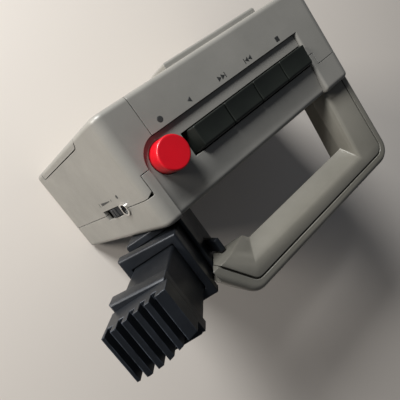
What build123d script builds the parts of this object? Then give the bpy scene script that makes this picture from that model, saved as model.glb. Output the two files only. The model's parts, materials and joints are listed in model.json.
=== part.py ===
from build123d import *
import os
from math import cos, radians, sin

# Hand-held cassette recorder: a box body, a loop handle on its back, four piano
# keys and a red record button on top, and a telescoping microphone at one end.
# The keys are on top (+Z), the cassette door faces -Y, the handle stands out at
# +Y and the microphone points up and out at the record end (+X). Sizes in mm.

# Body
LENGTH = 162.0  # top face, end to end
DEPTH = 65.0  # cassette side to handle side
HEIGHT = 128.0
END_LEAN = 0.15  # the record end leans out this much per mm of drop
WALL = 2.5
END_ROUND = 7.0
EDGE_ROUND = 3.0
GAP = 0.4  # visible seam between mouldings
SEAM_Y = 14.5  # seam between the front and the back mouldings
CAP_X = 60.0  # seam between the front moulding and the end cap
HALF = LENGTH / 2
BACK = DEPTH / 2

# Sunk deck that carries the keys
DECK_TOP = 126.0
DECK_THICK = 2.2
DECK_X0, DECK_X1 = -55.6, 71.2
DECK_Y0 = -9.0
RAMP_DROP = 1.8

# Keys
KEY_PITCH = 23.6
KEY_X1 = 39.4  # record end of the first key
KEY_GAP = 0.7
KEY_Y0, KEY_Y1 = -0.9, 11.9
KEY_TOP = 130.4
KEY_BOTTOM = 119.5
SHAFT_Y, SHAFT_Z, SHAFT_R = -18.0, 121.3, 1.5
FIT = 0.05  # running fit, radial

# Record button
REC_X, REC_Y, REC_R, REC_TOP = 59.2, 3.2, 9.1, 137.0
LOBE_R = 12.3

# Handle, as seen from above
GRIP_TOP, GRIP_NOSE, GRIP_LOW = 122.0, 111.0, 98.0
GRIP_OUT_X, GRIP_OUT_Y = -84.0, 96.8
GRIP_SEAM = 7.6  # width of the outer rim

# Microphone: axis tilt and the centre of its first collar
MIC_TILT = 57.0
MIC_X, MIC_Y, MIC_Z = 94.0, 55.0, 117.8

# Cassette side
DOOR_X0, DOOR_Z0, DOOR_Z1 = -24.0, 15.0, 97.0
DOOR_WRAP = -26.5  # how far the door wraps round the record end
PIN_Y, PIN_Z, PIN_R = -30.4, 17.2, 0.8
CASSETTE_X, CASSETTE_Z = 31.0, 49.1
REEL_STEP = 21.25  # half the distance between the two reels

# Whole machine: shift that puts the origin under the middle of its bounding box
SHIFT_X, SHIFT_Y = -27.1, -30.35

parts = {}


def box(x0, x1, y0, y1, z0, z1):
    """A block between two corners."""
    return Pos((x0 + x1) / 2, (y0 + y1) / 2, (z0 + z1) / 2) * Box(x1 - x0, y1 - y0, z1 - z0)


def rod_x(x0, x1, y, z, r):
    """A round bar along X."""
    return Pos((x0 + x1) / 2, y, z) * Rot(0, 90, 0) * Cylinder(r, x1 - x0)


def rod_y(x, y0, y1, z, r):
    """A round bar along Y."""
    return Pos(x, (y0 + y1) / 2, z) * Rot(90, 0, 0) * Cylinder(r, y1 - y0)


def rod_z(x, y, z0, z1, r):
    """An upright round bar."""
    return Pos(x, y, (z0 + z1) / 2) * Cylinder(r, z1 - z0)


def plan(points, z0, z1):
    """A prism on an outline seen from above."""
    return Pos(0, 0, z0) * extrude(Polygon(*points, align=None), z1 - z0, dir=(0, 0, 1))


def side(points, y0, y1):
    """A prism along Y on an outline seen from the cassette side."""
    face = Plane.XZ * Polygon(*points, align=None)
    return Pos(0, y0, 0) * extrude(face, y1 - y0, dir=(0, 1, 0))


def end_x(z):
    """Outside of the leaning record end at a height."""
    return HALF + END_LEAN * (HEIGHT - z)


def block(inset, y0, y1, r_top, r_low):
    """The body's rounded outline, shrunk by inset, between two depths."""
    x0, z0, z1 = -HALF + inset, inset, HEIGHT - inset
    pts = [(x0, z0), (end_x(z0) - inset, z0), (end_x(z1) - inset, z1), (x0, z1)]
    solid = side(pts, y0, y1)
    across = solid.edges().filter_by(Axis.Y).sort_by(Axis.Z)
    solid = fillet(across[2:], r_top)
    across = solid.edges().filter_by(Axis.Y).sort_by(Axis.Z)
    return fillet(across[:2], r_low)


def deck_outline(grow, z0, z1):
    """Outline of the sunk deck: a strip, a finger ramp and a lobe round the record button."""
    ramp = box(DECK_X0 - grow, DECK_X1 + grow, 3.0, BACK + 5, z0, z1)
    strip = box(DECK_X0 - grow, REC_X, DECK_Y0 - grow, 6.0, z0, z1)
    lobe = rod_z(REC_X, REC_Y, z0, z1, LOBE_R + grow)
    return ramp + strip + lobe


def make_shell():
    """The hollow body before it is cut into mouldings."""
    outer = block(0, -BACK, BACK, END_ROUND, 5.0)
    rims = outer.edges().group_by(Axis.Y)
    outer = fillet(rims[0] + rims[-1], EDGE_ROUND)
    inner = block(WALL, -BACK + WALL, BACK - WALL, END_ROUND - WALL, 2.5)
    return outer, outer - inner


outer_body, shell = make_shell()


# %% Openings in the shell
def door_region(gap):
    """Space of the cassette door, with a gap all round."""
    x1 = 130.0
    front = box(DOOR_X0 - gap, x1, -BACK - 1, -BACK + WALL, DOOR_Z0 - gap, DOOR_Z1 + gap)
    wrap = box(80.0, x1, -BACK - 1, DOOR_WRAP + gap, DOOR_Z0 - gap, DOOR_Z1 + gap)
    corner = wrap.edges().filter_by(Axis.X).group_by(Axis.Z)[-1].sort_by(Axis.Y)[-1]
    return front + fillet(corner, 5.0)


shell -= door_region(0.0)
shell -= deck_outline(0.3, DECK_TOP - DECK_THICK - 4.0, HEIGHT + 5)
# Slot for the volume wheel and the round hole for the jack, both on the seam
shell -= box(70.0, 100.0, SEAM_Y - 3.2, SEAM_Y + 3.2, 67.5, 92.0)
JACK_Z = 98.5
shell -= Pos(86.0, SEAM_Y, JACK_Z) * Rot(0, 90, 0) * Cylinder(3.5, 20.0)
# Battery opening at the stop end
BATT_Z0, BATT_Z1, BATT_Y = 12.0, 46.0, 17.0
shell -= box(-HALF - 1, -HALF + WALL + 1, -BATT_Y, BATT_Y, BATT_Z0, BATT_Z1)


# %% Mouldings
def back_region(grow):
    """Everything behind the seam, with the two corner tongues at the deck's ends."""
    back = box(-HALF - 5, 140.0, SEAM_Y + grow, BACK + 5, -5, HEIGHT + 5)
    stop_tongue = box(-60.0 + grow, DECK_X0 + 1, 6.9 + grow, SEAM_Y + 1, 122.0, HEIGHT + 5)
    rec_tongue = box(DECK_X1 - 1, 77.0 - grow, REC_Y + grow, SEAM_Y + 1, 122.0, HEIGHT + 5)
    return back + stop_tongue + rec_tongue


end_side = box(CAP_X, 140.0, -BACK - 5, BACK + 5, -5, HEIGHT + 5)
end_side_grown = box(CAP_X - GAP, 140.0, -BACK - 5, BACK + 5, -5, HEIGHT + 5)

rear_shell = shell & back_region(GAP / 2)
front_half = shell - back_region(-GAP / 2)
end_cap = front_half & end_side
front_shell = front_half - end_side_grown

# Walls that close the step at both ends of the ramp
for x0, y0 in ((DECK_X0 - 2.5, 7.2), (DECK_X1 + 0.3, 10.0)):
    rear_shell += box(x0, x0 + 2.2, y0, BACK, 119.8, HEIGHT - 1.0) & outer_body
# Small wedge-shaped relief where the seam meets the end's rounded edge
end_cap -= plan([(76.8, SEAM_Y), (76.8, SEAM_Y - 2.4), (80.6, SEAM_Y)], 120.0, HEIGHT + 1)


def round_step(moulding, x, radius):
    """Rounds the upper edge of a wall of the sunk deck that stands at x."""
    edges = moulding.edges().filter_by(Axis.Y).filter_by(
        lambda e: abs(e.center().X - x) < 0.02 and abs(e.center().Z - HEIGHT) < 0.02
    )
    return fillet(edges, radius)


rear_shell = round_step(rear_shell, DECK_X0 - 0.3, 1.8)
front_shell = round_step(front_shell, DECK_X0 - 0.3, 1.8)

# Speaker slots
SPEAKER_X, SPEAKER_Z = -53.0, 73.0
for row in range(6):
    z = SPEAKER_Z - 15 + 6 * row
    front_shell -= box(SPEAKER_X - 18, SPEAKER_X + 18, -BACK - 1, -BACK + WALL + 1, z - 1.2, z + 1.2)
# Ears that hold the door's hinge pin
for x0 in (DOOR_X0 - 4.0, 56.2):
    ear = box(x0, x0 + 3.2, -BACK + WALL - 0.5, -27.0, 8.0, PIN_Z + 2.6)
    ear -= box(x0 - 1, x0 + 4, -BACK - 1, -BACK + WALL, DOOR_Z0 - 0.1, 40.0)
    front_shell += ear
front_shell -= rod_x(DOOR_X0 - 4.0, CAP_X, PIN_Y, PIN_Z, PIN_R)
# Screw posts: sockets in the back moulding, pilot posts in the front one
SCREW_SPOTS = [(-72.0, 116.0), (-72.0, 60.0), (20.0, 9.0), (66.0, 110.0)]
for x, z in SCREW_SPOTS:
    rear_shell += rod_y(x, SEAM_Y + 3, BACK - WALL + 0.5, z, 4.0)
    rear_shell -= rod_y(x, SEAM_Y, BACK - 3.0, z, 1.6)
    rear_shell -= rod_y(x, BACK - 3.0, BACK + 1, z, 3.3)

# Battery door: a flush plate with a stepped edge and three finger grooves
battery_door = box(-HALF, -HALF + 1.2, -BATT_Y + 0.3, BATT_Y - 0.3, BATT_Z0 + 0.3, BATT_Z1 - 0.3)
battery_door += box(-HALF + 1.0, -HALF + 2.4, -BATT_Y + 1.5, BATT_Y - 1.5, BATT_Z0 + 1.5, BATT_Z1 - 1.5)
for z in (26.0, 29.0, 32.0):
    battery_door -= box(-HALF - 1, -HALF + 0.6, -8.0, 8.0, z - 0.5, z + 0.5)

# Raised bar across the top of the front
front_bar = box(-43.0, 29.0, -BACK - 3.6, -BACK, 103.0, 123.0)
front_bar = fillet(front_bar.edges().group_by(Axis.Y)[0], 1.6)

parts["front_shell"] = front_shell
parts["end_cap"] = end_cap
parts["rear_shell"] = rear_shell
parts["battery_door"] = battery_door
parts["front_bar"] = front_bar


# %% Deck with its finger ramp
def make_deck():
    """A thin deck that runs level under the keys and then dips to the back edge."""
    low = DECK_TOP - RAMP_DROP
    back = BACK - 0.2
    with BuildPart() as deck:
        with BuildSketch(Plane.YZ):
            with BuildLine():
                Line((DECK_Y0, DECK_TOP), (13.0, DECK_TOP))
                Spline((13.0, DECK_TOP), (24.0, low + 0.6), (back - 3.0, low), tangents=((1, 0), (1, 0)))
                RadiusArc((back - 3.0, low), (back, low - 3.0), 3.0)
                Line((back, low - 3.0), (back - 2.2, low - 3.0))
                Line((back - 2.2, low - 3.0), (back - 3.2, low - DECK_THICK))
                Line((back - 3.2, low - DECK_THICK), (11.0, low - DECK_THICK + 0.3))
                Line((11.0, low - DECK_THICK + 0.3), (10.0, DECK_TOP - DECK_THICK))
                Line((10.0, DECK_TOP - DECK_THICK), (DECK_Y0, DECK_TOP - DECK_THICK))
                Line((DECK_Y0, DECK_TOP - DECK_THICK), (DECK_Y0, DECK_TOP))
            make_face()
        extrude(amount=90, both=True)
    plate = deck.part & deck_outline(0.0, 100.0, HEIGHT)
    plate += box(REC_X - 4, REC_X + 10, DECK_Y0 + 1, REC_Y, DECK_TOP - DECK_THICK, DECK_TOP) & rod_z(
        REC_X, REC_Y, 100.0, HEIGHT, LOBE_R
    )
    well = box(KEY_X1 - 4 * KEY_PITCH - 0.5, KEY_X1 + 6.0, KEY_Y0 - 0.6, KEY_Y1 + 0.9, 100.0, 140.0)
    return plate - well - rod_z(REC_X, REC_Y, 100.0, 140.0, REC_R + 0.35)


key_deck = make_deck()
parts["key_deck"] = key_deck


# %% Piano keys on one shaft
def make_key(index):
    """A key cap with a dished top and a lever that turns on the shaft."""
    x1 = KEY_X1 - KEY_PITCH * index - KEY_GAP / 2
    x0 = x1 - KEY_PITCH + KEY_GAP
    cap = box(x0, x1, KEY_Y0, KEY_Y1, KEY_BOTTOM, KEY_TOP)
    top = cap.faces().sort_by(Axis.Z)[-1]
    cap = chamfer(top.edges().sort_by(Axis.Y)[-1], 1.6, 2.2)
    if index == 0:
        foot = x1 + 5.0
        wedge = [(x1, DECK_TOP - 6), (foot, DECK_TOP - 6), (foot, DECK_TOP - 1.0), (x1, KEY_TOP - 0.6)]
        cap += side(wedge, KEY_Y0, KEY_Y1 - 1.0)
    mid = (x0 + x1) / 2
    dish = rod_x(mid - 30.0, mid + 30.0, (KEY_Y0 + KEY_Y1) / 2 - 0.8, KEY_TOP + 59.4, 60.0)
    cap -= dish & box(x0 + 0.8, x1 - 0.8, KEY_Y0 + 0.8, KEY_Y1 - 2.8, KEY_TOP - 1, KEY_TOP + 1)
    lever = box(mid - 5, mid + 5, SHAFT_Y, KEY_Y0 + 1, SHAFT_Z - 1.6, SHAFT_Z + 1.4)
    hub = rod_x(mid - 5, mid + 5, SHAFT_Y, SHAFT_Z, 3.4)
    bore = rod_x(mid - 9, mid + 9, SHAFT_Y, SHAFT_Z, SHAFT_R + FIT)
    return cap + (lever + hub - bore)


KEYS = ("play_key", "rewind_key", "forward_key", "stop_key")
for index, name in enumerate(KEYS):
    parts[name] = make_key(index)

shaft_x0, shaft_x1 = KEY_X1 - 4 * KEY_PITCH - 3, KEY_X1 + 3
parts["key_shaft"] = rod_x(shaft_x0, shaft_x1, SHAFT_Y, SHAFT_Z, SHAFT_R)
for x in (shaft_x0 + 1.5, shaft_x1 - 1.5):
    hanger = box(x - 1.5, x + 1.5, SHAFT_Y - 4, SHAFT_Y + 4, SHAFT_Z - 4, HEIGHT - WALL)
    parts["front_shell"] += hanger - rod_x(x - 3, x + 3, SHAFT_Y, SHAFT_Z, SHAFT_R)

# Record button: a plain round cap on a stem
record = rod_z(REC_X, REC_Y, 119.0, REC_TOP, REC_R)
record = fillet(record.edges().sort_by(Axis.Z)[-1], 1.0)
parts["record_button"] = record + rod_z(REC_X, REC_Y, 108.0, 119.5, 3.0)


# The microphone's own axes: down its side, across, and out along it
mic_plane = Plane(
    origin=(MIC_X, MIC_Y, MIC_Z),
    x_dir=(sin(radians(MIC_TILT)), 0, -cos(radians(MIC_TILT))),
    z_dir=(cos(radians(MIC_TILT)), 0, sin(radians(MIC_TILT))),
)


# %% Loop handle
GRIP_OUTER = [(GRIP_OUT_X, BACK), (GRIP_OUT_X, GRIP_OUT_Y), (59.6, GRIP_OUT_Y), (101.5, BACK)]
GRIP_RIDGE = [(-59.3, BACK - 5), (-55.3, 81.2), (51.6, 81.2), (95.0, BACK - 5)]
GRIP_NOSE_LINE = [(-55.2, BACK - 5), (-55.2, 71.4), (39.9, 71.4), (71.0, BACK - 5)]
# How far the opening's wall rolls over at the top: height, share of the way out, extra
ROLL = [
    (GRIP_NOSE, 0.0, 0.0),
    (118.8, 0.71, 0.0),
    (120.8, 0.89, 0.25),
    (121.6, 0.97, 1.0),
    (GRIP_TOP, 1.0, 2.4),
]


def opening_line(z, share, extra):
    """The opening's outline at a height, part of the way from its narrowest to its widest."""
    away = [(-1.0, 0.0), (-1.0, 1.0), (0.65, 1.0), (1.2, 0.0)]
    pts = []
    for (nose_x, nose_y), (ridge_x, ridge_y), (away_x, away_y) in zip(GRIP_NOSE_LINE, GRIP_RIDGE, away):
        x = nose_x + (ridge_x - nose_x) * share + away_x * extra
        y = nose_y + (ridge_y - nose_y) * share + away_y * extra
        pts.append((x, y))
    return Pos(0, 0, z) * make_face(Polyline(*pts, close=True))


def funnel():
    """The finger opening: wide on top with a rolled edge, narrow at mid height, wide again below."""
    opening = loft([opening_line(GRIP_LOW, 1.0, 0.0), opening_line(GRIP_NOSE, 0.0, 0.0)])
    for lower, upper in zip(ROLL, ROLL[1:]):
        opening += loft([opening_line(*lower), opening_line(*upper)])
    opening += extrude(opening_line(*ROLL[-1]), 10, dir=(0, 0, 1))
    return opening + extrude(opening_line(GRIP_LOW - 10, 1.0, 0.0), 10, dir=(0, 0, 1))


def grip_prism(inset, z0, z1, corner):
    """The handle's outer outline, shrunk by inset, open towards the body."""
    s = inset
    pts = [
        (GRIP_OUT_X + s, BACK),
        (GRIP_OUT_X + s, GRIP_OUT_Y - s),
        (59.6 - s * 0.62, GRIP_OUT_Y - s),
        (101.5 - s * 1.2, BACK),
    ]
    solid = plan(pts, z0, z1)
    upright = solid.edges().filter_by(Axis.Z).group_by(Axis.Y)[-1]
    return fillet(upright, corner)


# The microphone sleeve takes the place of the record-end arm next to the body
socket_room = box(-18.4, 70.0, -30.0, 20.4, -90.0, 60.0)
socket_room += box(-60.0, -18.0, -30.0, 12.4, -90.0, 60.0)
socket_room = mic_plane * socket_room
core = grip_prism(GRIP_SEAM, GRIP_LOW, GRIP_TOP, 6.0) - funnel() - socket_room
rim = grip_prism(0.0, GRIP_LOW + 2, GRIP_TOP - 0.2, 12.0)
rim_top = rim.faces().sort_by(Axis.Z)[-1].edges().filter_by(lambda e: e.center().Y > BACK + 1)
rim = fillet(rim_top, 4.0)
rim = rim - grip_prism(GRIP_SEAM - 0.3, 0.0, 200.0, 6.3) - socket_room
rim -= grip_prism(GRIP_SEAM - 1.1, GRIP_TOP - 2.6, 200.0, 6.9)
parts["handle_core"] = core
parts["handle_rim"] = rim


# %% Telescoping microphone
def mic_block(a0, a1, b0, b1, m0, m1, round_r=0.0):
    """A block in the microphone's own axes: down, across, along."""
    solid = box(a0, a1, b0, b1, m0, m1)
    if round_r:
        solid = fillet(solid.edges().filter_by(Axis.Z), round_r)
    return solid


def mic_flange(a, b, far, lean, m0, m1):
    """A collar that is a little wider at its lower edge."""
    pts = [(-a, -b), (a, -b - lean), (a, far), (-a, far)]
    collar = plan(pts, m0, m1)
    return chamfer(collar.edges().filter_by(Axis.Z, reverse=True).group_by(Axis.Z)[-1], 0.8)


def mic_tube(a, b, far, m0, m1, wall):
    """A square tube."""
    tube = mic_block(-a, a, -b, far, m0, m1, 1.5)
    return tube - mic_block(-a + wall, a - wall, -b + wall, far - wall, m0 - 1, m1 + 1)


TUBE_A, TUBE_B = 15.0, 17.6
INNER_A, INNER_B, INNER_FAR = 12.4, 15.0, 13.4
socket = mic_block(-18.0, 18.0, -22.4, 20.0, -60.0, -22.0, 2.0)
socket -= mic_block(-TUBE_A - 0.3, TUBE_A + 0.3, -TUBE_B - 0.3, TUBE_B + 0.3, -60.0, 0.0)
cheek = box(56.5, 60.0, 58.0, 66.5, 88.0, 112.0)
sleeve_solid = mic_plane * mic_block(-18.0, 18.0, -22.4, 20.0, -60.0, -22.0)
parts["mic_socket"] = mic_plane * socket + (cheek - sleeve_solid)

outer_tube = mic_tube(TUBE_A, TUBE_B, TUBE_B, -46.0, -2.0, 2.2)
outer_collar = mic_flange(16.8, 19.5, 19.5, 3.6, -5.5, 2.0)
outer_collar -= mic_block(-12.8, 12.8, -15.4, 13.8, -20.0, 10.0)
parts["mic_outer_tube"] = mic_plane * (outer_tube + outer_collar)

inner_tube = mic_tube(INNER_A, INNER_B, INNER_FAR, -10.0, 42.0, 1.8)
inner_collar = mic_flange(13.2, 16.2, INNER_FAR, 2.6, 34.0, 42.0)
inner_collar -= mic_block(-10.6, 10.6, -13.2, 11.6, 0.0, 60.0)
parts["mic_inner_tube"] = mic_plane * (inner_tube + inner_collar)


def make_head():
    """The ribbed head: a slanted, tapering block cut into deep fins."""
    blank = side([(-14.2, 42.2), (13.6, 42.2), (13.8, 60.0), (-14.2, 51.0)], -60.0, 60.0)
    shape = plan([(-15, -15.4), (15, -15.2), (15, 6.8), (9, 8.4), (0, 8.8), (-15, 6.4)], 40.0, 62.0)
    head = blank & shape
    head += mic_block(-10.2, 10.2, -12.8, 6.0, 36.0, 43.0)
    for fin in range(5):
        a = -9.6 + 4.9 * fin
        floor = 45.0 + 0.32 * (a + 14.2)
        head -= box(a, a + 2.6, -12.6, 30.0, floor, 70.0)
        head -= box(a, a + 2.6, -30.0, -12.0, floor + 1.2, 70.0)
    return head


parts["mic_head"] = mic_plane * make_head()

# %% Cassette door
door_skin = (outer_body - block(WALL, -BACK + WALL, BACK - WALL, END_ROUND - WALL, 2.5)) & door_region(-0.6)
door_skin -= box(-200, 200, -BACK - 5, BACK, -10, PIN_Z)
bead = rod_x(DOOR_X0 + 0.6, 55.6, PIN_Y, PIN_Z, 2.0) + rod_x(60.2, 94.4, PIN_Y, PIN_Z, 2.0)
WINDOW = (CASSETTE_X - 36.0, CASSETTE_X + 36.0, 37.0, 65.0)
door_skin -= box(WINDOW[0], WINDOW[1], -BACK - 1, -BACK + WALL + 1, WINDOW[2], WINDOW[3])
for row in range(3):
    door_skin -= box(0.0, 62.0, -BACK - 1, -BACK + 0.7, 84.0 + 3 * row, 85.0 + 3 * row)
parts["cassette_door"] = door_skin + bead - rod_x(-60, 60, PIN_Y, PIN_Z, PIN_R + FIT)
pane = box(WINDOW[0] - 2, WINDOW[1] + 2, -BACK + WALL, -BACK + WALL + 1.2, WINDOW[2] - 2, WINDOW[3] + 2)
parts["door_window"] = pane
parts["door_pin"] = rod_x(DOOR_X0 - 4.0, 59.4, PIN_Y, PIN_Z, PIN_R)

# %% Volume wheel and jack at the record end
WHEEL_X, WHEEL_Z, WHEEL_R = 76.2, 79.8, 12.6
wheel = rod_y(WHEEL_X, SEAM_Y - 2.6, SEAM_Y + 2.6, WHEEL_Z, WHEEL_R)
for tooth in range(24):
    turn = radians(15 * tooth)
    x, z = WHEEL_X + WHEEL_R * cos(turn), WHEEL_Z + WHEEL_R * sin(turn)
    wheel -= rod_y(x, SEAM_Y - 3, SEAM_Y + 3, z, 0.7)
parts["volume_wheel"] = wheel - rod_y(WHEEL_X, 0, 30, WHEEL_Z, 2.0 + FIT)
parts["wheel_pin"] = rod_y(WHEEL_X, SEAM_Y - 6, SEAM_Y + 6, WHEEL_Z, 2.0)
volume_box = box(WHEEL_X - 7, WHEEL_X + 7, SEAM_Y + 6, SEAM_Y + 12, WHEEL_Z - 7, WHEEL_Z + 7)
parts["volume_control"] = volume_box

jack_plane = Plane(origin=(end_x(JACK_Z), SEAM_Y, JACK_Z), z_dir=(1, 0, END_LEAN))
jack_ring = Pos(0, 0, 0.5) * (Cylinder(4.0, 1.0) - Cylinder(3.0, 3))
jack_body = Pos(0, 0, -6.4) * (Cylinder(3.2, 12.0) - Cylinder(1.9, 14.0))
parts["jack_ring"] = jack_plane * jack_ring
parts["jack_body"] = jack_plane * jack_body

# %% Tape transport
PLATE_Y0, PLATE_Y1 = -14.0, -12.6
REELS = {"supply_spindle": CASSETTE_X - REEL_STEP, "takeup_spindle": CASSETTE_X + REEL_STEP}
CAPSTAN_X, CAPSTAN_Z = 61.0, 80.0
MOTOR_X, MOTOR_Z = -2.0, 84.0
chassis = box(-19.0, 80.0, PLATE_Y0, PLATE_Y1, 12.0, 104.0)
for x in REELS.values():
    chassis -= rod_y(x, -20, -5, CASSETTE_Z, 2.5 + FIT)
chassis -= rod_y(CAPSTAN_X, -20, -5, CAPSTAN_Z, 1.0 + FIT)
chassis -= rod_y(MOTOR_X, -20, -5, MOTOR_Z, 3.0)
for x, z in ((-16.0, 15.0), (-16.0, 101.0), (70.0, 15.0), (40.0, 101.0)):
    chassis += box(x - 2, x + 2, PLATE_Y0, SEAM_Y - 1, z - 2, z + 2)
parts["chassis_plate"] = chassis


def make_spindle(x):
    """A reel spindle: shaft, drive disc behind the plate and three drive teeth."""
    shaft = rod_y(x, -25.0, -9.0, CASSETTE_Z, 2.5)
    disc = rod_y(x, PLATE_Y1 + 0.4, PLATE_Y1 + 3.0, CASSETTE_Z, 11.0)
    body = shaft + disc
    for turn in (90, 210, 330):
        tooth = Pos(x, -20.0, CASSETTE_Z) * Rot(0, turn, 0) * Pos(3.0, 0, 0) * Box(2.4, 8.0, 1.2)
        body += tooth
    return body


for name, x in REELS.items():
    parts[name] = make_spindle(x)

parts["capstan_shaft"] = rod_y(CAPSTAN_X, -26.0, -4.0, CAPSTAN_Z, 1.0)
flywheel = rod_y(CAPSTAN_X, -11.6, -6.6, CAPSTAN_Z, 15.0) - rod_y(CAPSTAN_X, -20, 0, CAPSTAN_Z, 1.0)
groove = rod_y(CAPSTAN_X, -10.0, -8.2, CAPSTAN_Z, 16.0) - rod_y(CAPSTAN_X, -10.0, -8.2, CAPSTAN_Z, 14.0)
parts["flywheel"] = flywheel - groove

parts["motor"] = rod_y(MOTOR_X, -6.0, 12.0, MOTOR_Z, 13.0) + rod_y(MOTOR_X, 12.0, 13.5, MOTOR_Z, 4.0)
pulley = rod_y(MOTOR_X, -11.6, -6.6, MOTOR_Z, 4.0)
pulley -= rod_y(MOTOR_X, -10.0, -8.2, MOTOR_Z, 5.0) - rod_y(MOTOR_X, -10.0, -8.2, MOTOR_Z, 3.0)
parts["motor_pulley"] = pulley


def belt_loop(grow, y0, y1):
    """The area a belt round the two pulleys encloses."""
    hull = make_hull(
        (Pos(MOTOR_X, MOTOR_Z) * Circle(3.1 + grow)).edges()
        + (Pos(CAPSTAN_X, CAPSTAN_Z) * Circle(14.1 + grow)).edges()
    )
    return Pos(0, y0, 0) * extrude(Plane.XZ * hull, y1 - y0, dir=(0, 1, 0))


parts["drive_belt"] = belt_loop(0.7, -9.8, -8.4) - belt_loop(0.0, -12.0, -6.0)

# Sliding head plate above the cassette, with the tape head and the pinch roller
head_plate = box(0.0, 74.0, -15.6, PLATE_Y0 - 0.4, 88.0, 103.0)
ROLLER_X, ROLLER_Z = 64.0, 90.0
parts["head_plate"] = head_plate
parts["tape_head"] = box(CASSETTE_X - 6, CASSETTE_X + 6, -27.0, -15.6, 88.0, 98.0)
parts["roller_pin"] = rod_y(ROLLER_X, -26.0, -15.6, ROLLER_Z, 1.0)
roller = rod_y(ROLLER_X, -24.0, -17.0, ROLLER_Z, 5.0)
parts["pinch_roller"] = roller - rod_y(ROLLER_X, -30, -10, ROLLER_Z, 1.0 + FIT)

# %% Electrics
parts["circuit_board"] = box(-38.0, 44.0, 22.0, 23.6, 24.0, 104.0)
for x, z in ((-30.0, 90.0), (0.0, 40.0), (30.0, 70.0)):
    parts["circuit_board"] += box(x - 6, x + 6, 18.0, 22.0, z - 4, z + 4)
for x, z in ((-34.0, 28.0), (40.0, 28.0), (-34.0, 100.0), (40.0, 100.0)):
    parts["rear_shell"] += rod_y(x, 23.6, BACK - WALL + 0.5, z, 2.5)

speaker = rod_y(SPEAKER_X, -29.6, -26.0, SPEAKER_Z, 21.0) + rod_y(SPEAKER_X, -26.0, -19.0, SPEAKER_Z, 12.0)
parts["speaker"] = speaker + rod_y(SPEAKER_X, -19.0, -13.0, SPEAKER_Z, 9.0)

CELL_X0, CELL_X1, CELL_R = -76.0, -26.0, 7.1
cells = []
for y in (-7.8, 7.8):
    for z in (21.2, 36.8):
        cells.append(rod_x(CELL_X0, CELL_X1, y, z, CELL_R) + rod_x(CELL_X1, CELL_X1 + 1.2, y, z, 2.6))
parts["cells"] = Compound(cells)
tray = box(-77.5, -23.0, -16.6, 16.6, 12.4, 45.6) - box(-79.0, -24.2, -15.4, 15.4, 13.6, 44.4)
parts["battery_tray"] = tray

# Screws: one node for the four of them
screws = []
for x, z in SCREW_SPOTS:
    shank = rod_y(x, SEAM_Y - 2.0, BACK - 3.0, z, 1.5)
    head = rod_y(x, BACK - 3.0, BACK - 1.2, z, 2.9)
    upright = box(x - 0.4, x + 0.4, BACK - 1.9, BACK, z - 2, z + 2)
    level = box(x - 2, x + 2, BACK - 1.9, BACK, z - 0.4, z + 0.4)
    screws.append(shank + head - upright - level)
parts["case_screws"] = Compound(screws)

# %% Write every piece
os.makedirs("parts", exist_ok=True)
limits = Compound([solid for shape in parts.values() for solid in shape.solids()]).bounding_box()
print("span", limits.min, limits.max)
for name, shape in parts.items():
    export_step(Pos(SHIFT_X, SHIFT_Y, 0) * shape, f"parts/{name}.step")
    print(name, len(shape.solids()), round(shape.volume))
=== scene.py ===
# %% [markdown]
# # A hand-held cassette recorder in satin grey plastic
#
# The working parts come from the CAD model: mouldings, keys, handle, microphone
# and tape transport, each at its real size and on its own moving body. This
# lesson gives every surface its finish, rebuilds the pieces that need softer
# shapes than the CAD has, and sets the light and the camera.

import bpy
import bmesh
import json
from math import atan, cos, pi, radians, sin
from mathutils import Matrix, Vector

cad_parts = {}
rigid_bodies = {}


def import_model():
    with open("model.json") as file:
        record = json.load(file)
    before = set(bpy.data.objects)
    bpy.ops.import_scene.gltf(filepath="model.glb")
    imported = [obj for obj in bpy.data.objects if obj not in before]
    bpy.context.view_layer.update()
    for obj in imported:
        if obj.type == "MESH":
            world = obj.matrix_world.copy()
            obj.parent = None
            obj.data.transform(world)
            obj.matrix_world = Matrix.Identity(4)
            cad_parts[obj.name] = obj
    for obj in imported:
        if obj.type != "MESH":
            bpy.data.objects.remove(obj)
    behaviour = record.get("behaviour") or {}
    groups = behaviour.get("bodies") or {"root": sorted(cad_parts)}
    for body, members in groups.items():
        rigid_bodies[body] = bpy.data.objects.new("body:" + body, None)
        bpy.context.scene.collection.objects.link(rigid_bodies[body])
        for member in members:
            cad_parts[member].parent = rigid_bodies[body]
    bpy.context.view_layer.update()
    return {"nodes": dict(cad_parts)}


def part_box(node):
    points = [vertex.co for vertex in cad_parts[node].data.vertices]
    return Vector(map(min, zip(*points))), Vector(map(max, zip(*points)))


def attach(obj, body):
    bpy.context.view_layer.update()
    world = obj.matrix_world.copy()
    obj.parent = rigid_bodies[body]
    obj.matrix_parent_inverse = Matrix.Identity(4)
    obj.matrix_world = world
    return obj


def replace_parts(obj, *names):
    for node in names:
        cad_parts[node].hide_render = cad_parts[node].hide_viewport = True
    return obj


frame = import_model()
nodes = frame["nodes"]

# %% [markdown]
# ## Places
#
# The body is measured from its own middle, with Z up from the resting face. The
# model's origin is under the middle of the whole machine, handle and microphone
# included, so one shift in millimetres turns body places into model places. The
# shift is read back from the low corner of the front shell instead of being typed again.

# %% Millimetres from the middle of the body
BODY_HALF, BODY_BACK, BODY_TOP = 81.0, 32.5, 128.0
END_LEAN = 0.15  # how far the record end leans out for each mm of drop
shell_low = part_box("front_shell")[0]
SHIFT_X = shell_low.x * 1000 + BODY_HALF
SHIFT_Y = shell_low.y * 1000 + BODY_BACK


def at(x, y, z):
    """A place on the body, in millimetres, as a point of the model."""
    return Vector(((x + SHIFT_X) / 1000, (y + SHIFT_Y) / 1000, z / 1000))


print("shift of the body:", round(SHIFT_X, 2), round(SHIFT_Y, 2))

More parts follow.
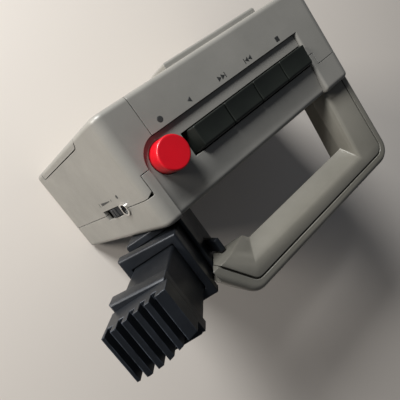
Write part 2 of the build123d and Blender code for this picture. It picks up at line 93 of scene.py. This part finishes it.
# %% [markdown]
# ## Writing shader maths as sums
#
# A finish is a network of nodes. Placed one by one they hide the idea, so a wire
# is wrapped in a class that understands +, -, * and /, and each sum adds its own
# Math node. Everything else comes from one method that takes a node's type, its
# settings and what goes into its sockets.

# %% Wires and finishes
class Wire:
    """One value that flows through a finish."""

    def __init__(self, finish, socket):
        self.finish, self.socket = finish, socket

    def maths(self, operation, other=None, flip=False):
        pair = (other, self) if flip else (self, other)
        values = {i: v for i, v in enumerate(pair) if v is not None}
        return self.finish.node("ShaderNodeMath", {"operation": operation}, values)

    def __add__(self, other):
        return self.maths("ADD", other)

    def __sub__(self, other):
        return self.maths("SUBTRACT", other)

    def __rsub__(self, other):
        return self.maths("SUBTRACT", other, flip=True)

    def __mul__(self, other):
        return self.maths("MULTIPLY", other)

    def __truediv__(self, other):
        return self.maths("DIVIDE", other)

    __radd__, __rmul__ = __add__, __mul__


class Finish:
    """A material whose nodes are added by name."""

    def __init__(self, name):
        self.material = bpy.data.materials.new(name)
        self.material.use_nodes = True
        self.tree = self.material.node_tree
        self.shader = self.tree.nodes["Principled BSDF"]

    def node(self, kind, settings=None, inputs=None, output=0):
        made = self.tree.nodes.new(kind)
        for key, value in (settings or {}).items():
            if key == "stops":
                for step, (place, colour) in zip(made.color_ramp.elements, value):
                    step.position, step.color = place, colour
            else:
                setattr(made, key, value)
        for key, value in (inputs or {}).items():
            self.feed(made.inputs[key], value)
        return Wire(self, made.outputs[output])

    def feed(self, socket, value):
        if isinstance(value, Wire):
            self.tree.links.new(value.socket, socket)
        else:
            socket.default_value = value

    def set(self, **values):
        """Feeds the shader's own sockets: base_color becomes Base Color."""
        for key, value in values.items():
            self.feed(self.shader.inputs[key.replace("_", " ").title()], value)

    def mix(self, amount, first, second):
        """A colour between two colours."""
        settings = {"data_type": "RGBA"}
        return self.node("ShaderNodeMix", settings, {0: amount, 6: first, 7: second}, output=2)

    def noise(self, place, scale, detail=3.0, rough=0.55):
        inputs = {"Vector": place, "Scale": scale, "Detail": detail, "Roughness": rough}
        return self.node("ShaderNodeTexNoise", {}, inputs)

    def between(self, value, low, high):
        """Stretches the part of a value from low to high over 0 to 1."""
        inputs = {0: value, 1: low, 2: high}
        return self.node("ShaderNodeMapRange", {"clamp": True}, inputs)


print("finishes are ready to be written")

# %% [markdown]
# ## Moulded plastic
#
# All the plastic here is one recipe with different numbers. Real mouldings are
# never one flat colour: a fine grain breaks up the gloss, handling leaves duller
# and brighter patches, and the corners are rubbed paler or shinier. The corner
# mask is the difference between the true normal and a rounded one, so it follows
# every edge without any painting, and the same rounded normal softens the sharp
# CAD edges in the light.

# %% Recipe for moulded plastic
def plastic(name, colour, patchy, worn, rough, grain, depth,
            wear=0.5, metal=0.0, coat=0.0, round_mm=0.6, shine=0.5):
    """A plastic: grain is its size in mm and depth how much it stands out."""
    f = Finish(name)
    place = f.node("ShaderNodeTexCoord", output="Object")
    fine = f.noise(place, 1000.0 / grain, 2.0, 0.6)
    broad = f.noise(place, 26.0, 4.0, 0.6)
    rub = f.noise(place, 160.0, 4.0, 0.65)
    soft = f.node("ShaderNodeBevel", {"samples": 6}, {"Radius": round_mm / 1000})
    true = f.node("ShaderNodeNewGeometry", output="Normal")
    match = f.node("ShaderNodeVectorMath", {"operation": "DOT_PRODUCT"}, {0: soft, 1: true}, output="Value")
    edge = f.between(1.0 - match, 0.02, 0.22) * f.between(rub, 0.35, 0.6) * wear
    base = f.mix(f.between(broad, 0.3, 0.7), colour, patchy)
    base = f.mix(f.between(fine, 0.3, 0.7) * 0.35, base, patchy)
    base = f.mix(edge, base, worn)
    gloss = rough + (rub - 0.5) * 0.16 + (broad - 0.5) * 0.14 - edge * 0.1
    relief = {"Height": fine, "Strength": depth, "Distance": 0.0001, "Normal": soft}
    bump = f.node("ShaderNodeBump", {}, relief)
    f.set(base_color=base, roughness=gloss, normal=bump, metallic=metal, coat_weight=coat)
    f.shader.inputs["Coat Roughness"].default_value = 0.12
    f.shader.inputs["Specular IOR Level"].default_value = shine
    return f.material


def grey(r, g, b):
    """A colour with full strength."""
    return (r, g, b, 1.0)


case_grey = plastic("case_grey", grey(0.27, 0.255, 0.225), grey(0.215, 0.205, 0.18),
                    grey(0.5, 0.49, 0.46), 0.42, 0.55, 0.35, wear=0.6, metal=0.15, round_mm=0.35)
grip_grey = plastic("grip_grey", grey(0.215, 0.2, 0.165), grey(0.17, 0.158, 0.128),
                    grey(0.48, 0.47, 0.43), 0.38, 0.55, 0.3, wear=0.7, metal=0.15)
key_black = plastic("key_black", grey(0.007, 0.008, 0.007), grey(0.013, 0.015, 0.012),
                    grey(0.07, 0.08, 0.065), 0.4, 0.5, 0.2, wear=0.4, shine=0.32)
mic_black = plastic("mic_black", grey(0.006, 0.0065, 0.0075), grey(0.013, 0.015, 0.018),
                    grey(0.11, 0.125, 0.15), 0.36, 0.6, 0.35, wear=0.8, shine=0.3)
inner_black = plastic("inner_black", grey(0.014, 0.014, 0.015), grey(0.02, 0.02, 0.02),
                      grey(0.05, 0.05, 0.05), 0.5, 0.6, 0.3, wear=0.2)
button_red = plastic("button_red", grey(0.62, 0.004, 0.012), grey(0.5, 0.003, 0.01),
                     grey(0.8, 0.09, 0.08), 0.34, 0.7, 0.06, wear=0.2, coat=0.1)
print("plastics:", [m.name for m in bpy.data.materials])

# %% [markdown]
# ## Metal, rubber, glass and board
#
# These hardly show, behind the slots and the window, but each still has its own
# surface: turned metal has fine rings of scratches, rubber is dull and dusty, and
# the circuit board shows its copper tracks under green varnish.

# %% Turned and polished metal
def metal(name, colour, dull, rough, streak):
    """A bare metal with fine scratches drawn out along Y."""
    f = Finish(name)
    place = f.node("ShaderNodeTexCoord", output="Object")
    drawn = f.node("ShaderNodeMapping", {}, {"Vector": place, "Scale": (streak, streak * 0.05, streak)})
    lines = f.noise(drawn, 900.0, 3.0, 0.6)
    stain = f.noise(place, 90.0, 4.0, 0.6)
    bump = f.node("ShaderNodeBump", {}, {"Height": lines, "Strength": 0.15, "Distance": 0.00005})
    f.set(base_color=f.mix(f.between(stain, 0.35, 0.7), colour, dull), metallic=1.0,
          roughness=rough + (stain - 0.5) * 0.2 + (lines - 0.5) * 0.1, normal=bump)
    return f.material


bright_steel = metal("bright_steel", grey(0.62, 0.61, 0.6), grey(0.45, 0.44, 0.42), 0.25, 1.0)
plated_ring = metal("plated_ring", grey(0.85, 0.84, 0.82), grey(0.7, 0.69, 0.66), 0.1, 0.5)
belt_rubber = plastic("belt_rubber", grey(0.018, 0.017, 0.016), grey(0.035, 0.033, 0.03),
                      grey(0.06, 0.06, 0.055), 0.7, 0.4, 0.4, wear=0.2)
cell_skin = plastic("cell_skin", grey(0.03, 0.05, 0.09), grey(0.04, 0.06, 0.1),
                    grey(0.3, 0.3, 0.3), 0.25, 0.8, 0.1, wear=0.4)


def board_green():
    """Green varnish over a grid of copper tracks."""
    f = Finish("board_green")
    place = f.node("ShaderNodeTexCoord", output="Object")
    grid = {"Vector": place, "Scale": 160.0, "Mortar Size": 0.035}
    track = f.node("ShaderNodeTexBrick", {}, grid, output="Fac")
    cloth = f.noise(place, 700.0, 2.0)
    base = f.mix(track, grey(0.012, 0.07, 0.03), grey(0.06, 0.17, 0.07))
    f.set(base_color=f.mix(cloth * 0.3, base, grey(0.02, 0.05, 0.02)), roughness=0.3 + cloth * 0.2)
    f.set(normal=f.node("ShaderNodeBump", {}, {"Height": track, "Strength": 0.2, "Distance": 0.0001}))
    return f.material


def smoked_window():
    """Smoked clear plastic: mostly see-through, with a few hairline scratches."""
    f = Finish("smoked_window")
    place = f.node("ShaderNodeTexCoord", output="Object")
    drawn_out = {"Vector": place, "Scale": (0.04, 1.0, 1.0), "Rotation": (0, 0.3, 0)}
    hair = f.node("ShaderNodeMapping", {}, drawn_out)
    scratch = f.between(f.noise(hair, 2600.0, 2.0), 0.66, 0.74)
    f.set(base_color=grey(0.05, 0.05, 0.055), roughness=0.08 + scratch * 0.3, alpha=0.55 + scratch * 0.2)
    f.set(normal=f.node("ShaderNodeBump", {}, {"Height": scratch, "Strength": 0.1, "Distance": 0.00005}))
    return f.material


board = board_green()
window_clear = smoked_window()
print("finishes made:", len(bpy.data.materials))

# %% [markdown]
# ## Giving the CAD pieces their finish
#
# A CAD piece whose shape is right stays as it is and only takes a finish. The
# list reads like a parts list: one line for each finish.

# %% Finish for each CAD node
FINISHES = {
    case_grey: "front_shell end_cap rear_shell battery_door front_bar key_deck cassette_door",
    grip_grey: "handle_core handle_rim",
    key_black: "play_key rewind_key forward_key stop_key",
    mic_black: "mic_socket mic_outer_tube mic_inner_tube mic_head",
    inner_black: "battery_tray volume_wheel volume_control jack_body supply_spindle"
                 " takeup_spindle motor_pulley",
    button_red: "record_button",
    bright_steel: "key_shaft door_pin wheel_pin chassis_plate capstan_shaft flywheel motor"
                  " head_plate tape_head roller_pin case_screws speaker",
    plated_ring: "jack_ring",
    belt_rubber: "drive_belt pinch_roller",
    board: "circuit_board",
    window_clear: "door_window",
    cell_skin: "cells",
}


def dress(obj, finish):
    """Gives the whole piece one finish."""
    obj.data.materials.clear()
    obj.data.materials.append(finish)


for finish, names in FINISHES.items():
    for name in names.split():
        dress(nodes[name], finish)
left = [n for n, o in nodes.items() if o.data.materials[0] not in FINISHES]
print("nodes without a finish:", left)

# %% [markdown]
# ## Rounding the moulded pieces
#
# The CAD keeps the keys, the handle and the microphone with sharp edges, because
# that is all the mechanism needs. Real mouldings have a radius on every edge, and
# that radius is what catches the light. Each CAD mesh is a loose heap of triangles,
# so a copy is merged and its flat areas joined into single faces first; then a
# Bevel modifier rounds whatever is still sharp and keeps the flats flat.

# %% A softened copy of a CAD node
def merged_copy(node):
    """The node's mesh as a bmesh with joined corners and whole flat faces."""
    bm = bmesh.new()
    bm.from_mesh(nodes[node].data)
    bmesh.ops.remove_doubles(bm, verts=bm.verts, dist=0.000005)
    bmesh.ops.dissolve_limit(bm, angle_limit=radians(0.8), verts=bm.verts, edges=bm.edges)
    return bm


def make_piece(name, bm, body, finish):
    """Turns a bmesh into a smooth piece that rides on a body."""
    for face in bm.faces:
        face.smooth = True
    data = bpy.data.meshes.new(name)
    bm.to_mesh(data)
    bm.free()
    piece = bpy.data.objects.new(name, data)
    bpy.context.scene.collection.objects.link(piece)
    dress(piece, finish)
    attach(piece, body)
    return piece


def round_edges(piece, width, segments=3, sharp=30.0):
    """Rounds every edge sharper than an angle; the width is in millimetres."""
    bevel = piece.modifiers.new("rounding", "BEVEL")
    bevel.width, bevel.segments, bevel.profile = width / 1000, segments, 0.5
    bevel.limit_method, bevel.angle_limit = "ANGLE", radians(sharp)
    bevel.harden_normals, bevel.use_clamp_overlap = True, True
    return piece


def soften(node, body, finish, width, slot):
    """Stands a softened copy in for a CAD node."""
    piece = make_piece(node + "_soft", merged_copy(node), body, finish)
    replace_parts(round_edges(piece, width), node)
    return piece


SOFT = [("mic_socket", "case", mic_black, 0.9, "black_plastic"),
        ("mic_outer_tube", "mic_outer", mic_black, 0.7, "black_plastic"),
        ("mic_inner_tube", "mic_inner", mic_black, 0.7, "black_plastic"),
        ("handle_core", "case", grip_grey, 0.5, "grey_plastic")]
for entry in SOFT:
    piece = soften(*entry)
    print(piece.name, len(piece.data.polygons), "faces before rounding")

# %% [markdown]
# ## Piano keys
#
# A key is a shallow dished cap with soft corners. A block is cut by planes across
# its depth so that its top can sag in a smooth curve, then every edge is rounded.
# The first key also slopes down at its open end, where no neighbour hides it.

# %% Key caps
KEY_DISH = 0.55  # how far the top sags
KEY_CUTS = 10  # strips across the key's depth
KEY_BACK_DROP = 1.6  # fall of the edge by the ramp
KEY_FRONT, KEY_UNDER = -0.9, 119.5  # front and underside of the cap
PLAY_SLOPE = 5.0  # run of the first key's sloping end
NEAR_TOP = 0.0001


def key_cap(name, slope):
    """One key cap in the box of its CAD node, above the lever."""
    low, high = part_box(name)
    low = Vector((low.x, at(0, KEY_FRONT, 0).y, at(0, 0, KEY_UNDER).z))
    size = high - low
    bm = bmesh.new()
    bmesh.ops.create_cube(bm, size=1.0)
    bmesh.ops.scale(bm, vec=size, verts=bm.verts)
    bmesh.ops.translate(bm, vec=(low + high) / 2, verts=bm.verts)
    for step in range(1, KEY_CUTS):
        cut = Vector((0, low.y + size.y * step / KEY_CUTS, 0))
        everything = bm.verts[:] + bm.edges[:] + bm.faces[:]
        bmesh.ops.bisect_plane(bm, geom=everything, plane_co=cut, plane_no=(0, 1, 0))
    for vert in bm.verts:
        if vert.co.z > high.z - NEAR_TOP:
            across = 2 * (vert.co.y - low.y) / size.y - 1
            drop = KEY_BACK_DROP if across > 0.99 else 0
            vert.co.z -= (KEY_DISH * (1 - across * across) + drop) / 1000
            if slope and vert.co.x > high.x - NEAR_TOP:
                vert.co.x -= slope / 1000
    return round_edges(make_piece(name + "_cap", bm, name, key_black), 0.6, 4, 24.0)


for name in ("play_key", "rewind_key", "forward_key", "stop_key"):
    cap = key_cap(name, PLAY_SLOPE if name == "play_key" else 0.0)
    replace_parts(cap, name)
    print(cap.name, "stands for", name)

# %% [markdown]
# ## Printed marks
#
# The words printed beside the keys become the plain signs that every tape machine
# shares: a dot to record, an arrow to play, double arrows to wind and a square to
# stop. Each is a sheet of ink a twentieth of a millimetre thick, which takes the
# light as real print does.

# %% Marks beside the keys
INK_LIFT = 0.005  # keeps the underside of a mark off the moulding


def ink(name, outline, to_place, thick=0.05):
    """A flat mark: an outline in millimetres, raised a little and set in place."""
    bm = bmesh.new()
    corners = [bm.verts.new((x / 1000, y / 1000, 0)) for x, y in outline]
    face = bm.faces.new(corners)
    raised = bmesh.ops.extrude_face_region(bm, geom=[face])
    tops = [v for v in raised["geom"] if isinstance(v, bmesh.types.BMVert)]
    bmesh.ops.translate(bm, vec=(0, 0, thick / 1000), verts=tops)
    bmesh.ops.recalc_face_normals(bm, faces=bm.faces)
    bmesh.ops.transform(bm, matrix=to_place, verts=bm.verts)
    piece = make_piece(name, bm, "case", print_ink)
    for face in piece.data.polygons:
        face.use_smooth = False
    return piece


def dot(radius):
    return [(radius * cos(pi * k / 12), radius * sin(pi * k / 12)) for k in range(24)]


def arrow(x, way, half=1.55):
    """A triangle that points along way, 1 or -1, with its base at x."""
    tip = [(x, -half), (x + way * 2.5, 0), (x, half)]
    return tip if way > 0 else tip[::-1]


def square(half):
    return [(-half, -half), (half, -half), (half, half), (-half, half)]


def bar(x, half=1.55):
    return [(x - 0.25, -half), (x + 0.25, -half), (x + 0.25, half), (x - 0.25, half)]


print_ink = plastic("print_ink", grey(0.015, 0.015, 0.015), grey(0.03, 0.03, 0.028),
                    grey(0.12, 0.12, 0.11), 0.5, 0.4, 0.2, wear=0.3)
MARKS = {
    "mark_record": (51.1, -13.5, [dot(1.7)]),
    "mark_play": (31.1, -12.9, [arrow(-1.3, 1)]),
    "mark_rewind": (6.3, -12.9, [arrow(0.0, -1), arrow(2.7, -1), bar(-2.9)]),
    "mark_forward": (-15.5, -12.6, [arrow(0.0, 1), arrow(-2.7, 1), bar(2.9)]),
    "mark_stop": (-41.6, -12.3, [square(1.5)]),
}
for name, (x, y, outlines) in MARKS.items():
    for number, outline in enumerate(outlines):
        ink(f"{name}_{number}", outline, Matrix.Translation(at(x, y, BODY_TOP + INK_LIFT)))
print("marks printed:", list(MARKS))

# %% [markdown]
# The record end carries small marks for the volume wheel: a long thin wedge that
# widens towards loud, and a dot beside the jack. The end face leans out a little,
# so its marks are turned by the same lean before they are set down.

# %% Marks on the record end
lean = Matrix.Rotation(radians(90.0) - atan(END_LEAN), 4, "Y")


def on_end(y, z):
    """A place on the leaning end face, a hair proud of it."""
    face_x = BODY_HALF + END_LEAN * (BODY_TOP - z)
    return Matrix.Translation(at(face_x + INK_LIFT, y, z)) @ lean


ink("mark_volume", [(-8.0, -0.25), (5.0, -0.95), (5.0, 0.95), (-8.0, 0.25)], on_end(6.8, 78.0))
ink("mark_jack", dot(1.2), on_end(6.4, 98.5))
ink("mark_loud", bar(0.0, 1.3), on_end(6.8, 70.0))
ink("mark_quiet", bar(0.0, 0.7), on_end(6.8, 89.0))
print("end marks printed")

# %% [markdown]
# ## Floor, light and camera
#
# The machine stands on a plain pale floor. Two soft boxes light it, both from in
# front of the cassette side: one high, which lights the top, and one low beyond
# the record end. The body stands between them and the handle, so the handle's
# inner walls and the floor inside the loop stay dark.

# %% Floor
floor_mesh = bmesh.new()
bmesh.ops.create_grid(floor_mesh, x_segments=2, y_segments=2, size=3.0)
floor_data = bpy.data.meshes.new("floor")
floor_mesh.to_mesh(floor_data)
floor_mesh.free()
floor = bpy.data.objects.new("floor", floor_data)
bpy.context.scene.collection.objects.link(floor)
pale = Finish("pale_floor")
ground = pale.node("ShaderNodeTexCoord", output="Object")
cloud = pale.noise(ground, 3.0)
pale.set(base_color=pale.mix(cloud, grey(0.62, 0.56, 0.49), grey(0.66, 0.6, 0.53)), roughness=0.6)
dress(floor, pale.material)
print("floor laid")


# %% Lights
def soft_box(name, place, target, size, watts, colour):
    """A square area light that faces a target."""
    data = bpy.data.lights.new(name, "AREA")
    data.shape, data.size, data.energy, data.color = "SQUARE", size, watts, colour
    lamp = bpy.data.objects.new(name, data)
    lamp.location = place
    lamp.rotation_mode = "QUATERNION"
    lamp.rotation_quaternion = (Vector(target) - Vector(place)).to_track_quat("-Z", "Y")
    bpy.context.scene.collection.objects.link(lamp)


heart = at(0, 0, 100)
soft_box("cassette_side_light", (0.25, -0.95, 0.6), heart, 0.35, 17.0, (0.93, 0.96, 1.0))
soft_box("record_end_light", (0.95, -0.8, 0.36), heart, 0.4, 14.0, (1.0, 0.98, 0.96))
world = bpy.data.worlds.new("room")
world.use_nodes = True
backdrop = world.node_tree.nodes["Background"]
backdrop.inputs["Color"].default_value = (0.8, 0.87, 1.0, 1.0)
backdrop.inputs["Strength"].default_value = 0.09
bpy.context.scene.world = world
bpy.context.scene.view_settings.view_transform = "Standard"
print("lights set")

# %% [markdown]
# The camera hangs close above the record end and looks down across the keys. It
# is placed by three directions, right, up and back, worked out once from the
# body's own corners, which fixes its tilt and roll together.

# %% Camera
camera_data = bpy.data.cameras.new("camera")
camera_data.sensor_width, camera_data.lens = 36.0, 36.06
camera_data.clip_start = 0.01
camera = bpy.data.objects.new("camera", camera_data)
RIGHT = (-0.699482, 0.571330, 0.429310)
UP = (-0.599638, -0.796023, 0.082354)
BACK = (0.388792, -0.199825, 0.899395)
camera.rotation_mode = "QUATERNION"
camera.rotation_quaternion = Matrix((RIGHT, UP, BACK)).transposed().to_quaternion()
camera.location = (0.112205, -0.040246, 0.313514)
bpy.context.scene.collection.objects.link(camera)
bpy.context.scene.camera = camera
print("camera at", [round(v, 3) for v in camera.location])
